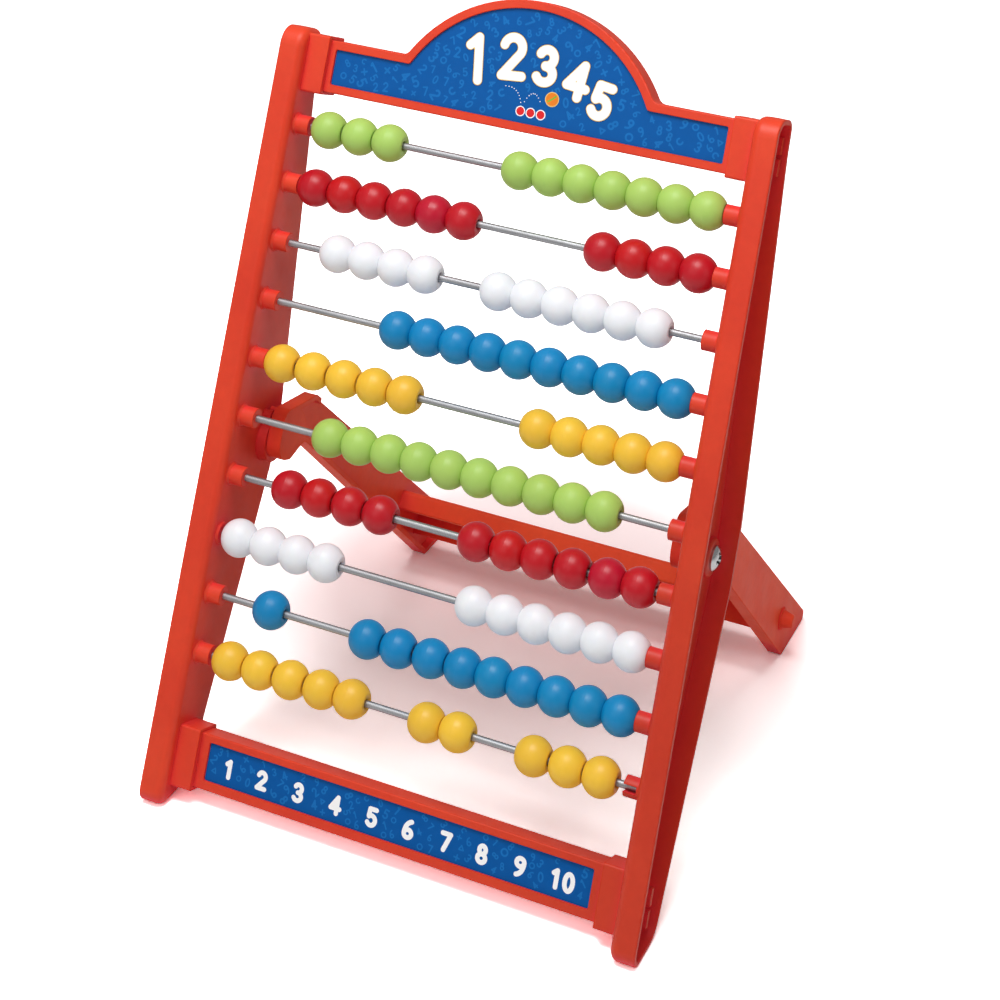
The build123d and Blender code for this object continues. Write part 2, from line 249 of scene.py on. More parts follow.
def frame_plastic(name, base, deep, gloss_level, rough_lo, rough_hi, painted_shade_depth):
    """Orange-red moulded plastic: fine eroded grain, slow sink waves, scuffs and rubbed edges; painted shade darker
    low on the right and painted crimson shade in recesses.
    """
    m = Nodes(name)
    bevel = m.add("ShaderNodeBevel", samples=4)
    bevel.inputs["Radius"].default_value = 0.28 * MM
    wide = m.add("ShaderNodeBevel", samples=4)
    wide.inputs["Radius"].default_value = 1.1 * MM
    geo = m.add("ShaderNodeNewGeometry")
    dot = m.add("ShaderNodeVectorMath", operation="DOT_PRODUCT")
    m.put(dot.inputs[0], wide.outputs[0])
    m.put(dot.inputs[1], geo.outputs["Normal"])
    edge = m.ramp(dot.outputs["Value"], 0.995, 0.86, 0.0, 1.0)
    cloud = m.noise(22.0, 4.0, 0.5)
    mottle = m.noise(260.0, 3.0, 0.6)
    grain = m.noise(3200.0, 2.0, 0.6)
    rub = m.math("MULTIPLY", edge, m.ramp(m.noise(95.0, 5.0, 0.65), 0.42, 0.68))
    light = rgb(240, 112, 72)
    colour = m.mix(m.ramp(cloud, 0.3, 0.7), deep, base)
    colour = m.hsv(colour, 0.5, 1.0, m.ramp(mottle, 0.25, 0.75, 0.965, 1.035))
    colour = m.mix(m.math("MULTIPLY", rub, 0.16), colour, light)
    axes = m.add("ShaderNodeSeparateXYZ")
    m.put(axes.inputs[0], m.coord)
    # painted shade, fitted to the fall of light over the frame: darker low on the right; not wear
    low_right = m.math("MULTIPLY", m.ramp(axes.outputs[0], 0.0, 0.09), m.ramp(axes.outputs[2], 0.22, 0.13))
    colour = m.hsv(colour, 0.5, 1.0, m.ramp(low_right, 0.0, 1.0, 1.0, 1.0 - painted_shade_depth))
    # painted shade: corners and recesses tinted crimson by ambient occlusion
    painted_shade_ao = m.add("ShaderNodeAmbientOcclusion", samples=6)
    painted_shade_ao.inputs["Distance"].default_value = 22.0 * MM
    colour = m.mix(m.ramp(painted_shade_ao.outputs["AO"], 0.32, 0.76, 0.85, 0.0), colour, rgb(238, 50, 68))
    lines = m.noise(1.0, 2.0, 0.5, vector=m.stretch((900.0, 900.0, 30.0), (0.35, 0.2, 0.0)))
    scratch = m.math("MULTIPLY", m.ramp(lines, 0.66, 0.74), m.ramp(m.noise(30.0, 2.0), 0.5, 0.62))
    rough = m.math("ADD", m.ramp(m.noise(70.0, 4.0, 0.6), 0.25, 0.75, rough_lo, rough_hi),
                   m.math("ADD", m.math("MULTIPLY", scratch, 0.06), m.math("MULTIPLY", rub, 0.12)))
    n = m.bump(m.noise(34.0, 2.0, 0.4), 0.10, 0.8 * MM, bevel.outputs[0])
    n = m.bump(mottle, 0.10, 0.10 * MM, n)
    n = m.bump(grain, 0.16, 0.05 * MM, n)
    n = m.bump(scratch, 0.12, -0.02 * MM, n)
    gloss = m.math("SUBTRACT", gloss_level, m.math("MULTIPLY", edge, 0.9 * gloss_level))
    p = m.principled(Base_Color=colour, Roughness=rough, IOR=1.49, Specular_IOR_Level=gloss, Normal=n)
    p.inputs["Subsurface Weight"].default_value = 0.10
    p.inputs["Subsurface Radius"].default_value = (1.0, 0.22, 0.10)
    p.inputs["Subsurface Scale"].default_value = 1.6 * MM
    return m.finish(p.outputs[0])


def bead_plastic(name, base, vary, rough_lo, rough_hi, rub_colour, sat=1.0):
    """Satin toy plastic: each bead differs a little, fine orange peel, handling scuffs, worn rims."""
    m = Nodes(name)
    geo = m.add("ShaderNodeNewGeometry")
    island = geo.outputs["Random Per Island"]
    mottle = m.noise(180.0, 4.0, 0.6)
    peel = m.noise(1500.0, 2.0, 0.5)
    value = m.math("ADD", m.ramp(island, 0.0, 1.0, 1.0 - vary, 1.0 + vary),
                   m.ramp(mottle, 0.25, 0.75, -0.02, 0.02))
    hue = m.ramp(m.math("FRACT", m.math("MULTIPLY", island, 7.31)), 0.0, 1.0, 0.4955, 0.5045)
    colour = m.hsv(base, hue, sat, value)
    edge = m.ramp(geo.outputs["Pointiness"], 0.515, 0.56)
    rub = m.math("MULTIPLY", edge, m.ramp(m.noise(420.0, 4.0, 0.7), 0.4, 0.65))
    colour = m.mix(m.math("MULTIPLY", rub, 0.45), colour, rub_colour)
    lines = m.noise(1.0, 3.0, 0.6, vector=m.stretch((120.0, 1500.0, 1500.0), (0.0, 0.5, 0.8)))
    scuff = m.math("MULTIPLY", m.ramp(lines, 0.62, 0.72), m.ramp(m.noise(150.0, 3.0), 0.5, 0.66))
    rough = m.math("ADD", m.ramp(m.noise(240.0, 4.0, 0.6), 0.2, 0.8, rough_lo, rough_hi),
                   m.math("MULTIPLY", scuff, 0.14))
    n = m.bump(m.noise(120.0, 2.0, 0.4), 0.06, 0.25 * MM)
    n = m.bump(peel, 0.10, 0.04 * MM, n)
    n = m.bump(scuff, 0.20, -0.015 * MM, n)
    p = m.principled(Base_Color=colour, Roughness=rough, IOR=1.5, Specular_IOR_Level=0.38, Normal=n)
    p.inputs["Subsurface Weight"].default_value = 0.12
    p.inputs["Subsurface Radius"].default_value = (1.0, 0.6, 0.4)
    p.inputs["Subsurface Scale"].default_value = 1.0 * MM
    return m.finish(p.outputs[0])


def steel(name, tint, rough_lo, rough_hi, lay):
    """Zinc-plated wire: drawn lay lines with the faint oblique feed marks of the straightener."""
    m = Nodes(name)
    cloud = m.noise(60.0, 4.0, 0.6)
    spots = m.noise(700.0, 3.0, 0.65)
    wave = m.add("ShaderNodeTexWave", wave_type="BANDS", bands_direction="X")
    m.put(wave.inputs["Vector"], m.stretch((1.0, 0.55, 0.75)))
    wave.inputs["Scale"].default_value = lay
    wave.inputs["Distortion"].default_value = 2.2
    wave.inputs["Detail"].default_value = 2.0
    wave.inputs["Detail Scale"].default_value = 1.4
    drawn = m.noise(1.0, 3.0, 0.7, vector=m.stretch((40.0, 5200.0, 5200.0)))
    colour = m.mix(m.ramp(cloud, 0.3, 0.7), tuple(c * 0.86 for c in tint[:3]) + (1.0,), tint)
    colour = m.hsv(colour, 0.5, 1.0, m.ramp(wave.outputs["Fac"], 0.0, 1.0, 0.88, 1.05))
    rough = m.math("ADD", m.ramp(spots, 0.25, 0.75, rough_lo, rough_hi), m.math("MULTIPLY", drawn, 0.05))
    n = m.bump(drawn, 0.25, 0.03 * MM)
    n = m.bump(wave.outputs["Fac"], 0.30, 0.05 * MM, n)
    n = m.bump(spots, 0.12, 0.03 * MM, n)
    p = m.principled(Base_Color=colour, Roughness=rough, Metallic=1.0, Normal=n)
    return m.finish(p.outputs[0])


def plated(name):
    """Bright nickel plating, faint polishing marks and fingerprints in the gloss."""
    m = Nodes(name)
    smear = m.noise(300.0, 5.0, 0.65)
    hair = m.noise(1.0, 3.0, 0.6, vector=m.stretch((1200.0, 8000.0, 500.0), (0.6, 0.1, 0.3)))
    colour = m.mix(m.ramp(smear, 0.3, 0.7), (0.52, 0.52, 0.54, 1), (0.70, 0.70, 0.70, 1))
    rough = m.math("ADD", m.ramp(smear, 0.3, 0.7, 0.12, 0.26), m.math("MULTIPLY", m.ramp(hair, 0.5, 0.8), 0.08))
    n = m.bump(hair, 0.15, 0.02 * MM)
    p = m.principled(Base_Color=colour, Roughness=rough, Metallic=1.0, Normal=n)
    return m.finish(p.outputs[0])


def ink(name, colour, dark=0.94, rough=(0.34, 0.46), coat=0.04):
    """Printed film under a thin clear laminate: press mottle, dot screen, paper-fibre ripple."""
    m = Nodes(name)
    mottle = m.noise(140.0, 5.0, 0.6)
    screen = m.add("ShaderNodeTexVoronoi", feature="F1")
    m.put(screen.inputs["Vector"], m.stretch((4200.0, 4200.0, 4200.0)))
    screen.inputs["Scale"].default_value = 1.0
    screen.inputs["Randomness"].default_value = 0.15
    value = m.math("MULTIPLY", m.ramp(mottle, 0.25, 0.75, dark, 1.03), m.ramp(screen.outputs["Distance"], 0.1, 0.7, 0.985, 1.015))
    c = m.hsv(colour, 0.5, 1.0, value)
    r = m.ramp(m.noise(90.0, 4.0, 0.6), 0.25, 0.75, *rough)
    n = m.bump(m.noise(60.0, 3.0, 0.5), 0.12, 0.25 * MM)
    n = m.bump(m.noise(1100.0, 2.0, 0.5), 0.06, 0.04 * MM, n)
    p = m.principled(Base_Color=c, Roughness=r, IOR=1.5, Normal=n)
    p.inputs["Specular IOR Level"].default_value = 0.12
    p.inputs["Coat Weight"].default_value = coat
    p.inputs["Coat Roughness"].default_value = 0.16
    return m.finish(p.outputs[0])


FRAME_MAT = frame_plastic("frame_plastic_moulded", rgb(226, 68, 36), rgb(215, 56, 32), 0.32, 0.36, 0.50, 0.17)
# a lighter copy of the frame's plastic: painted light on the stand's legs, which sit in the lamps' shade
STAND_MAT = frame_plastic("stand_plastic_moulded", rgb(248, 82, 42), rgb(240, 71, 38), 0.19, 0.44, 0.58, 0.0)
BEADS = {
    "green": bead_plastic("bead_green_satin", rgb(171, 205, 101), 0.03, 0.38, 0.50, rgb(205, 230, 150)),
    "red": bead_plastic("bead_red_satin", rgb(190, 18, 40), 0.05, 0.30, 0.42, rgb(225, 90, 95)),
    "white": bead_plastic("bead_white_satin", rgb(238, 240, 244), 0.012, 0.34, 0.46, rgb(250, 250, 250)),
    "blue": bead_plastic("bead_blue_satin", rgb(4, 132, 187), 0.035, 0.34, 0.46, rgb(90, 175, 220)),
    "yellow": bead_plastic("bead_yellow_satin", rgb(243, 192, 58), 0.03, 0.34, 0.46, rgb(250, 215, 120)),
}
ROD_MAT = steel("rod_zinc_steel", (0.44, 0.445, 0.46, 1.0), 0.40, 0.54, 420.0)
SCREW_MAT = plated("screw_nickel")
INK_BLUE = ink("label_blue_ink", rgb(0, 86, 160))
INK_FAINT = ink("label_faint_ink", rgb(18, 108, 182))
INK_WHITE = ink("label_white_ink", rgb(250, 250, 250), 0.985)
INK_GOLD = ink("label_gold_ink", rgb(236, 200, 110))
INK_NAVY = ink("label_navy_ink", rgb(0, 52, 118))
INK_RED = ink("label_red_ink", rgb(222, 40, 44))
INK_ORANGE = ink("label_orange_ink", rgb(232, 128, 40))
INK_GREEN = ink("label_green_ink", rgb(120, 185, 60))
INK_EDGE = ink("label_film_edge", rgb(205, 215, 225), 0.95)

# ---------------------------------------------------------------------------
# beads
# ---------------------------------------------------------------------------
ROW_COLOURS = ["green", "red", "white", "blue", "yellow"] * 2
BEAD_LEN = 13.78 * MM
BEAD_R = 8.05 * MM


def bead_profile(length):
    """Closed (axial, radius) loop: crowned wall, soft rim, flat end, countersunk bore."""
    h = length / 2
    face = math.sqrt(BEAD_R ** 2 - h * h)
    d = BEAD_R - face
    big = (h * h + d * d) / (2 * d)          # radius of the crowned wall
    cr = BEAD_R - big                        # its centre height
    soft = 0.55 * MM
    pts = []
    limit = math.asin((h - 0.33 * MM) / big)
    n = 15
    wall = []
    for i in range(-n, n + 1):
        t = limit * i / n
        a, r = big * math.sin(t), cr + big * math.cos(t)
        wall.append((a, r))
    seam = 0.025 * MM                        # witness line where the mould halves met
    for a, r in wall:
        if abs(a) < 1e-9:
            pts += [(-0.16 * MM, r), (-0.07 * MM, r + seam), (0.07 * MM, r + seam), (0.16 * MM, r)]
        else:
            pts.append((a, r))
    a1, r1 = wall[-1]
    rim = [(h - 0.14 * MM, r1 - 0.29 * MM), (h - 0.03 * MM, r1 - 0.50 * MM), (h, r1 - 0.76 * MM)]
    flat = [(h, 3.1 * MM), (h - 0.02 * MM, 2.72 * MM), (h - 0.12 * MM, 2.50 * MM),
            (h - 0.55 * MM, 2.02 * MM), (h - 0.75 * MM, 1.92 * MM), (h - 1.1 * MM, 1.90 * MM)]
    right = rim + flat
    bore = [(0.0, 1.9 * MM)]
    left = [(-a, r) for a, r in reversed(right)]
    # order: wall from -h to +h, right rim and face, bore back to the left, left face
    loop = pts + right + bore + left
    return loop


# where each bead stands on its rod, mm from the middle
PLACES = {
    "row01_beads_left": (-85.3, -70.7, -56.3),
    "row01_beads_right": (3.9, 17.7, 31.5, 45.3, 59.1, 72.9, 86.7),
    "row02_beads_left": (-86.7, -72.6, -58.6, -44.4, -30.5, -16.7),
    "row02_beads_right": (45.6, 59.4, 73.2, 87),
    "row03_beads_left": (-70.8, -57, -43.2, -29.4),
    "row03_beads_right": (4, 17.8, 31.6, 45.4, 59.2, 73),
    "row04_beads": (-37.2, -23.4, -9.6, 4.2, 18, 31.8, 45.6, 59.4, 73.2, 87),
    "row05_beads_left": (-86.9, -72.1, -57.4, -42.9, -28.7),
    "row05_beads_right": (31.8, 45.6, 59.4, 73.2, 87),
    "row06_beads": (-58.6, -44.8, -31, -17.2, -3.4, 10.4, 24.2, 38, 51.8, 65.6),
    "row07_beads_left": (-72.7, -58.6, -44.2, -29.8),
    "row07_beads_right": (14.1, 28.4, 42.2, 56.7, 71.8, 85.7),
    "row08_beads_left": (-91.6, -77.8, -64, -50.2),
    "row08_beads_right": (18, 31.8, 45.6, 59.4, 73.2, 87),
    "row09_beads_left": (-71,),
    "row09_beads_right": (-25.5, -11.1, 3.7, 18, 31.8, 45.6, 59.4, 73.2, 87),
    "row10_beads_left": (-85.3, -71, -56.4, -41.8, -27.6),
    "row10_beads_middle": (6.7, 20.8),
    "row10_beads_right": (54.3, 69.1, 83.5),
}
body_of_node = {n: b for b, ns in (frame["record"]["behaviour"]["bodies"]).items() for n in ns}

for node, places in PLACES.items():
    row = int(node[3:5])
    profile = bead_profile(BEAD_LEN)
    centre = middle(f"rod_{row:02d}")
    parts = []
    for i, x in enumerate(places):
        turn = (row * 37 + i * 101) % 360
        v, f = lathe(profile, 56, closed=True, phase=math.radians(turn))
        parts.append((v, f, (x * MM, centre.y, centre.z)))
    verts, faces = joined(parts)
    piece = new_object(node + "_turned", verts, faces, [BEADS[ROW_COLOURS[row - 1]]])
    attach(piece, body_of_node[node])
    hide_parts(node)

# ---------------------------------------------------------------------------
# rods
# ---------------------------------------------------------------------------
for row in range(1, 11):
    node = f"rod_{row:02d}"
    lo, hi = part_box(node)
    c = (lo + hi) / 2
    r = (hi.z - lo.z) / 2
    half = (hi.x - lo.x) / 2
    prof = [(-half, 0.0), (-half, r * 0.62), (-half + 0.10 * MM, r * 0.80), (-half + 0.30 * MM, r * 0.95),
            (-half + 0.55 * MM, r)]
    steps = 72
    for i in range(1, steps):
        t = i / steps
        prof.append((-half + 0.55 * MM + (2 * half - 1.1 * MM) * t, r))
    prof += [(half - 0.55 * MM, r), (half - 0.30 * MM, r * 0.95), (half - 0.10 * MM, r * 0.80), (half, r * 0.62), (half, 0.0)]
    v, f = lathe(prof, 28)
    v = [(p[0] + c.x, p[1] + c.y, p[2] + c.z) for p in v]
    piece = new_object(node + "_drawn", v, f, [ROD_MAT])
    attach(piece, body_of_node[node])
    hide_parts(node)

# ---------------------------------------------------------------------------
# rounded stroke shapes for the printed labels
# ---------------------------------------------------------------------------


def arc(cx, cy, rx, ry, a0, a1, n=24):
    return [(cx + rx * math.cos(math.radians(a0 + (a1 - a0) * i / n)),
             cy + ry * math.sin(math.radians(a0 + (a1 - a0) * i / n))) for i in range(n + 1)]


def bez(p0, p1, p2, n=16):
    return [((1 - t) ** 2 * p0[0] + 2 * t * (1 - t) * p1[0] + t * t * p2[0],
             (1 - t) ** 2 * p0[1] + 2 * t * (1 - t) * p1[1] + t * t * p2[1]) for t in [i / n for i in range(n + 1)]]


def turn_over(strokes, cx, cy):
    return [[(2 * cx - x, 2 * cy - y) for x, y in s] for s in strokes]


SIX = [arc(0.0, -0.20, 0.20, 0.19, 0, 360, 32), bez((0.13, 0.39), (-0.18, 0.28), (-0.20, -0.18))]
DIGITS = {
    "0": [arc(0, 0, 0.205, 0.395, 0, 360, 40)],
    "1": [[(-0.15, 0.25), (0.02, 0.39), (0.02, -0.39)]],
    "2": [arc(0.0, 0.18, 0.20, 0.21, 165, -35) + [(-0.21, -0.39), (0.23, -0.39)]],
    "3": [arc(-0.02, 0.195, 0.185, 0.195, 155, -90), arc(-0.02, -0.195, 0.21, 0.195, 90, -155)],
    "4": [[(0.10, -0.39), (0.10, 0.39), (-0.24, -0.15), (0.25, -0.15)]],
    "5": [[(0.20, 0.39), (-0.14, 0.39), (-0.17, 0.05)] + arc(-0.015, -0.155, 0.22, 0.235, 132, -150)],
    "6": SIX,
    "7": [[(-0.22, 0.39), (0.21, 0.39), (-0.07, -0.39)]],
    "8": [arc(0, 0.195, 0.165, 0.19, 0, 360, 30), arc(0, -0.20, 0.205, 0.20, 0, 360, 32)],
    "9": turn_over(SIX, 0, 0),
    "ring": [arc(0, 0, 0.30, 0.30, 0, 360, 36)],
    "plus": [[(-0.28, 0), (0.28, 0)], [(0, -0.28), (0, 0.28)]],
    "cross": [[(-0.2, -0.2), (0.2, 0.2)], [(-0.2, 0.2), (0.2, -0.2)]],
    "hook": [arc(0, 0, 0.26, 0.26, 60, 300)],
    "triangle": [[(-0.28, -0.22), (0.28, -0.22), (0.0, 0.28), (-0.28, -0.22)]],
    "dot": [[(0, 0), (0.0001, 0)]],
}


def stroke_distance(p, strokes):
    """Distance of points p (n, 2) to the nearest stroke centre line."""
    best = np.full(len(p), 1e9)
    for s in strokes:
        a = np.array(s[:-1])
        b = np.array(s[1:])
        for q0, q1 in zip(a, b):
            d = q1 - q0
            t = np.clip(((p - q0) @ d) / max(d @ d, 1e-12), 0, 1)
            best = np.minimum(best, np.hypot(*(p - q0 - t[:, None] * d).T))
    return best


def contours(strokes, radius, step=0.025, pad=0.06):
    """Closed outlines of the strokes thickened to a radius, by marching squares."""
    pts = np.array([q for s in strokes for q in s])
    lo, hi = pts.min(0) - radius - pad, pts.max(0) + radius + pad
    nx, ny = int((hi[0] - lo[0]) / step) + 2, int((hi[1] - lo[1]) / step) + 2
    gx, gy = lo[0] + step * np.arange(nx), lo[1] + step * np.arange(ny)
    grid = np.stack(np.meshgrid(gx, gy, indexing="ij"), -1).reshape(-1, 2)
    f = (stroke_distance(grid, strokes) - radius).reshape(nx, ny)
    f[np.abs(f) < 1e-7] = 1e-7
    inside = f < 0

    def cut(i0, j0, i1, j1):
        t = f[i0, j0] / (f[i0, j0] - f[i1, j1])
        return (gx[i0] + t * (gx[i1] - gx[i0]), gy[j0] + t * (gy[j1] - gy[j0]))

    nxt = {}
    place = {}
    for i, j in np.argwhere((inside[:-1, :-1] != inside[1:, :-1]) | (inside[:-1, :-1] != inside[:-1, 1:])
                            | (inside[1:, 1:] != inside[1:, :-1]) | (inside[1:, 1:] != inside[:-1, 1:])):
        c = [(i, j), (i + 1, j), (i + 1, j + 1), (i, j + 1)]
        s = [bool(inside[k]) for k in c]
        ins, outs = [], []
        for k in range(4):
            a, b = c[k], c[(k + 1) % 4]
            if s[k] != s[(k + 1) % 4]:
                key = (min(a, b), max(a, b))
                place[key] = cut(*key[0], *key[1])
                (outs if s[k] else ins).append((k, key))
        # walk with the inside on the left: enter where outside turns to inside going round
        for k, key in outs:
            later = sorted(ins, key=lambda e: (e[0] - k) % 4)
            nxt[key] = later[-1][1] if len(later) == 1 else later[0][1]
    loops = []
    left = set(nxt)
    while left:
        start = left.pop()
        loop, key = [start], nxt[start]
        while key != start and key in left:
            left.discard(key)
            loop.append(key)
            key = nxt[key]
        if key == start and len(loop) > 5:
            loops.append([place[k] for k in loop])
    return loops


def moved(loop, x, z, size, angle):
    c, s = math.cos(math.radians(angle)), math.sin(math.radians(angle))
    return [(x + size * (c * u - s * v), z + size * (s * u + c * v)) for u, v in loop]


def inside_loops(p, loops):
    """Even-odd test of points p (n, 2) against a set of loops."""
    hit = np.zeros(len(p), bool)
    for loop in loops:
        q = np.array(loop)
        a, b = q, np.roll(q, -1, 0)
        for (x0, y0), (x1, y1) in zip(a, b):
            if y0 == y1:
                continue
            cond = (y0 > p[:, 1]) != (y1 > p[:, 1])
            xs = x0 + (p[:, 1] - y0) * (x1 - x0) / (y1 - y0)
            hit ^= cond & (p[:, 0] < xs)
    return hit


def printed_sheet(name, outline, layers, front, thick, materials):
    """A flat label: its front is cut along every printed outline, so each colour is its own faces.
    layers is a list of (loops, material index), later ones on top."""
    verts, edges = [], []
    for loop in [outline] + [l for loops, _ in layers for l in loops]:
        k = len(verts)
        verts += [Vector(p) for p in loop]
        edges += [(k + i, k + (i + 1) % len(loop)) for i in range(len(loop))]
    out_v, _, out_f, *_ = delaunay_2d_cdt(verts, edges, [], 0, 1e-6)
    co = np.array([(v.x, v.y) for v in out_v])
    tris = [tuple(f) for f in out_f]
    mid = np.array([co[list(f)].mean(0) for f in tris])
    keep = inside_loops(mid, [outline])
    tone = np.zeros(len(tris), int)
    for loops, index in layers:
        q = np.array([p for l in loops for p in l])
        near = (mid >= q.min(0) - 1e-6).all(1) & (mid <= q.max(0) + 1e-6).all(1)
        sel = np.where(near)[0]
        if len(sel):
            tone[sel[inside_loops(mid[sel], loops)]] = index
    faces, tones = [], []
    bm = bmesh.new()
    bv = [bm.verts.new((x, front, z)) for x, z in co]
    for f, k, t in zip(tris, keep, tone):
        if not k:
            continue
        a, b, c = (co[i] for i in f)
        area = (b[0] - a[0]) * (c[1] - a[1]) - (c[0] - a[0]) * (b[1] - a[1])
        if abs(area) < 1e-14:
            continue
        order = f if area > 0 else f[::-1]
        face = bm.faces.new([bv[i] for i in order])
        face.material_index = int(t)
    loose = [v for v in bm.verts if not v.link_faces]
    bmesh.ops.delete(bm, geom=loose, context="VERTS")
    bm.normal_update()
    edge = [e for e in bm.edges if e.is_boundary]
    out = bmesh.ops.extrude_edge_only(bm, edges=edge)
    ring = [g for g in out["geom"] if isinstance(g, bmesh.types.BMVert)]
    for v in ring:
        v.co.y = front + thick
    for g in out["geom"]:
        if isinstance(g, bmesh.types.BMFace):
            g.material_index = len(materials) - 1
    rim = [e for e in bm.edges if e.is_boundary]
    made = bmesh.ops.holes_fill(bm, edges=rim, sides=0)
    for g in made["faces"]:
        g.material_index = len(materials) - 1
    bmesh.ops.triangulate(bm, faces=made["faces"])
    bmesh.ops.recalc_face_normals(bm, faces=bm.faces)
    mesh = bpy.data.meshes.new(name)
    bm.transform(AXES)
    bm.to_mesh(mesh)
    bm.free()
    for m in materials:
        mesh.materials.append(m)
    obj = bpy.data.objects.new(name, mesh)
    bpy.context.scene.collection.objects.link(obj)
    return obj


def to_frame(p):
    return AXES.inverted() @ Vector(p)


# label outlines, in frame axes (metres)
def corner(cx, cz, r, a0, a1, n=6):
    return arc(cx, cz, r, r, a0, a1, n)


H_X, H_Z0, H_Z1, H_R, H_ZC = 88.9 * MM, 19.3 * MM, 34.3 * MM, 61.2 * MM, 5.4 * MM
N_X, N_Z0, N_Z1 = 87.3 * MM, -276.1 * MM, -260.5 * MM
FACE_Y, SHEET = 0.4 * MM, 0.25 * MM


def header_outline():
    rf, rc = 1.7 * MM, 0.8 * MM
    xf = math.sqrt((H_R + rf) ** 2 - (H_Z1 + rf - H_ZC) ** 2)
    top = math.degrees(math.atan2(H_Z1 + rf - H_ZC, xf))
    pts = corner(H_X - rc, H_Z0 + rc, rc, -90, 0) + corner(H_X - rc, H_Z1 - rc, rc, 0, 90)
    pts += arc(xf, H_Z1 + rf, rf, rf, -90, -180 + top, 6)
    pts += arc(0, H_ZC, H_R, H_R, top, 180 - top, 90)[1:-1]
    pts += arc(-xf, H_Z1 + rf, rf, rf, -top, -90, 6)
    pts += corner(-H_X + rc, H_Z1 - rc, rc, 90, 180) + corner(-H_X + rc, H_Z0 + rc, rc, 180, 270)
    return pts


def strip_outline(x, z0, z1, rc):
    return (corner(x - rc, z0 + rc, rc, -90, 0) + corner(x - rc, z1 - rc, rc, 0, 90)
            + corner(-x + rc, z1 - rc, rc, 90, 180) + corner(-x + rc, z0 + rc, rc, 180, 270))


GLYPH = {}


def glyph(ch, radius, step=0.03):
    key = (ch, round(radius, 4), step)
    if key not in GLYPH:
        GLYPH[key] = contours(DIGITS[ch], radius, step)
    return GLYPH[key]


def pattern(fits, x0, x1, z0, z1, sizes, tries, seed):
    """Faint figures scattered at random over a region, each clear of the others."""
    rng = np.random.RandomState(seed)
    names = ["0", "2", "3", "5", "6", "8", "9", "4", "7", "ring", "plus", "hook", "triangle", "1"]
    out, placed = [], []
    for _ in range(tries):
        x, z = rng.uniform(x0, x1), rng.uniform(z0, z1)
        s, ang, ch = rng.uniform(*sizes), rng.uniform(-60, 60), names[rng.randint(len(names))]
        r = 0.47 * s
        if not fits(x, z, r):
            continue
        if any(math.hypot(x - px, z - pz) < r + pr for px, pz, pr in placed):
            continue
        placed.append((x, z, r))
        out.append([moved(l, x, z, s, ang) for l in glyph(ch, 0.085, 0.06)])
    return out


# header: five bouncing numerals, a ball's dotted hops and a short bead row
head_layers = []
header_numerals = [("1", -24.0, 42.0, 23.0, 8), ("2", -8.6, 45.6, 20.5, 5), ("3", 7.0, 44.3, 17.4, 0),
                   ("4", 21.6, 40.8, 17.2, -6), ("5", 33.4, 34.4, 16.0, -8)]
STROKE = 1.85                                # half width of the numerals' strokes, mm
NUMERAL_LINE = np.array([p for ch, cx, cz, s, ang in header_numerals
                         for l in glyph(ch, (STROKE + 0.62) / s, 0.03)
                         for p in moved(l, cx * MM, cz * MM, s * MM, ang)])


def header_fits(x, z, r):
    if not (H_Z0 + r + 0.5 * MM < z):
        return False
    inside = (abs(x) < H_X - r - 0.5 * MM and z < H_Z1 - r - 0.4 * MM) or math.hypot(x, z - H_ZC) < H_R - r - 0.5 * MM
    if not inside:
        return False
    if np.hypot(NUMERAL_LINE[:, 0] - x, NUMERAL_LINE[:, 1] - z).min() < r + 0.35 * MM:
        return False
    if abs(x - 3.5 * MM) < 11.5 * MM + r and abs(z - 27.5 * MM) < 5.0 * MM + r:
        return False
    return True


for g in pattern(header_fits, -H_X, H_X, H_Z0, H_ZC + H_R, (3.6 * MM, 5.6 * MM), 9000, 11):
    head_layers.append((g, 1))
for ch, cx, cz, s, ang in header_numerals:
    for extra, tone in ((0.62, 4), (0.30, 3), (0.0, 2)):
        head_layers.append(([moved(l, cx * MM, cz * MM, s * MM, ang) for l in glyph(ch, (STROKE + extra) / s, 0.018)], tone))


def dot(x, z, radius, tone):
    head_layers.append(([moved(l, x * MM, z * MM, 1.0 * MM, 0) for l in glyph("dot", radius, radius / 5)], tone))


# a ball's dotted hops along a row of three little beads
for x, z in bez((-9.2, 33.2), (-3.2, 33.8), (-1.4, 27.6), 8) + bez((0.2, 28.2), (3.6, 36.4), (8.0, 27.8), 9)[:-1]:
    dot(x, z, 0.22, 2)
for k in range(3):
    dot(-0.9 + 4.6 * k, 24.1, 2.15, 2)
for k in range(3):
    dot(-0.9 + 4.6 * k, 24.1, 1.75, 5)
dot(12.1, 31.3, 3.1, 3)
dot(12.1, 31.3, 2.75, 6)
head_layers.append(([moved(l, 12.1 * MM, 31.3 * MM, 1.0 * MM, 20)
                     for l in contours([[(-1.9, -0.5), (0.2, 0.1), (1.9, 0.9)]], 0.32, 0.1)], 7))
LABEL_MATS = [INK_BLUE, INK_FAINT, INK_WHITE, INK_GOLD, INK_NAVY, INK_RED, INK_ORANGE, INK_GREEN, INK_EDGE]
label = printed_sheet("header_label_print", header_outline(), head_layers, FACE_Y, SHEET, LABEL_MATS)
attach(label, body_of_node["header_label"])
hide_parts("header_label")

# number strip
num_layers = []
num_x = [-76.9, -61.3, -43.9, -26.5, -9.7, 6.9, 23.8, 39.9, 56.5, 75.1]
NUM_Z = -269.0


def strip_fits(x, z, r):
    if not (abs(x) < N_X - r - 0.4 * MM and N_Z0 + r + 0.3 * MM < z < N_Z1 - r - 0.3 * MM):
        return False
    for i, cx in enumerate(num_x):
        w = (6.2 if i == 9 else 3.2) * MM
        if abs(x - cx * MM) < w + r and abs(z - NUM_Z * MM) < 4.6 * MM + r:
            return False
    return True


